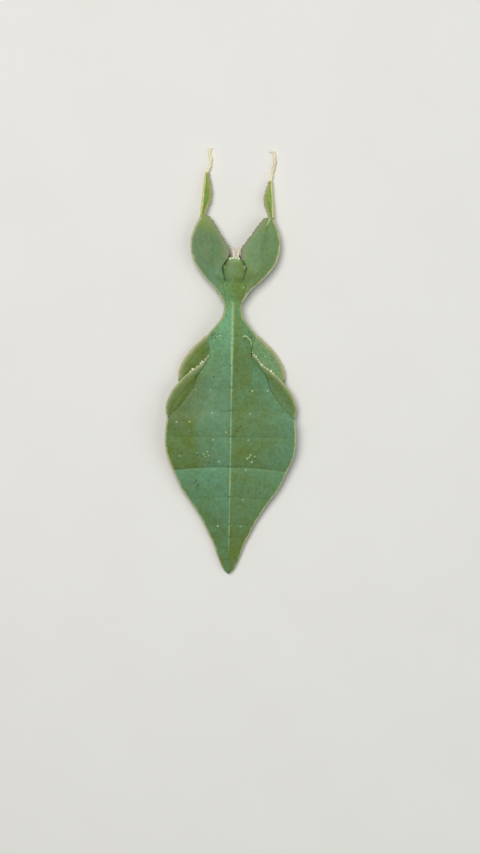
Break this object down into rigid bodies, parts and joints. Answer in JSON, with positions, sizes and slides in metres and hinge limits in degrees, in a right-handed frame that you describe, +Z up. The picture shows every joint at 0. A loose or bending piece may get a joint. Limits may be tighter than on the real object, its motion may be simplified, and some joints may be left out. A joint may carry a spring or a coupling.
{
  "type": "leaf insect",
  "caption": "Life-size leaf insect nymph, flat and leaf-shaped, lying on its belly with its lobed forelegs stretched ahead.",
  "frame": {"origin": "middle of the base of the box round the whole insect, on the floor it lies on", "axes": "+Y along the midline towards the head, +Z up from the floor, +X to the insect's right"},
  "size_m": [0.023, 0.0746, 0.005],
  "materials": {
    "body_green": "satin cuticle, leaf green, bluer to the left of the midline and more olive to the right",
    "leg_green": "satin cuticle, leaf green with a cream rim",
    "cream": "pale, slightly translucent cuticle",
    "eye_brown": "glossy compound eye"
  },
  "bodies": {
    "root": {"abdomen_segment_2": "body_green", "abdomen_segment_3": "body_green", "abdomen_segment_4": "body_green", "abdomen_segment_5": "body_green", "abdomen_segment_6": "body_green", "abdomen_segment_7": "body_green", "abdomen_segment_8": "body_green", "abdomen_segment_9": "body_green", "abdomen_segment_10": "body_green", "cercus_left": "body_green", "cercus_right": "body_green", "metathorax": "body_green", "mesothorax": "body_green", "prothorax": "body_green", "head": "body_green", "mouthparts": "cream", "antenna_left": "cream", "antenna_right": "cream", "eye_left": "eye_brown", "eye_right": "eye_brown", "fore_coxa_left": "leg_green", "fore_coxa_right": "leg_green", "fore_femur_left": "leg_green", "fore_femur_right": "leg_green", "fore_tibia_left": "leg_green", "fore_tibia_right": "leg_green", "fore_tarsus_left": "cream", "fore_tarsus_right": "cream", "mid_coxa_left": "leg_green", "mid_coxa_right": "leg_green", "mid_femur_left": "leg_green", "mid_femur_right": "leg_green", "mid_tibia_left": "leg_green", "mid_tibia_right": "leg_green", "mid_tarsus_left": "cream", "mid_tarsus_right": "cream", "hind_coxa_left": "leg_green", "hind_coxa_right": "leg_green", "hind_femur_left": "leg_green", "hind_femur_right": "leg_green", "hind_tibia_left": "leg_green", "hind_tibia_right": "leg_green", "hind_tarsus_left": "cream", "hind_tarsus_right": "cream"}
  },
  "joints": []
}
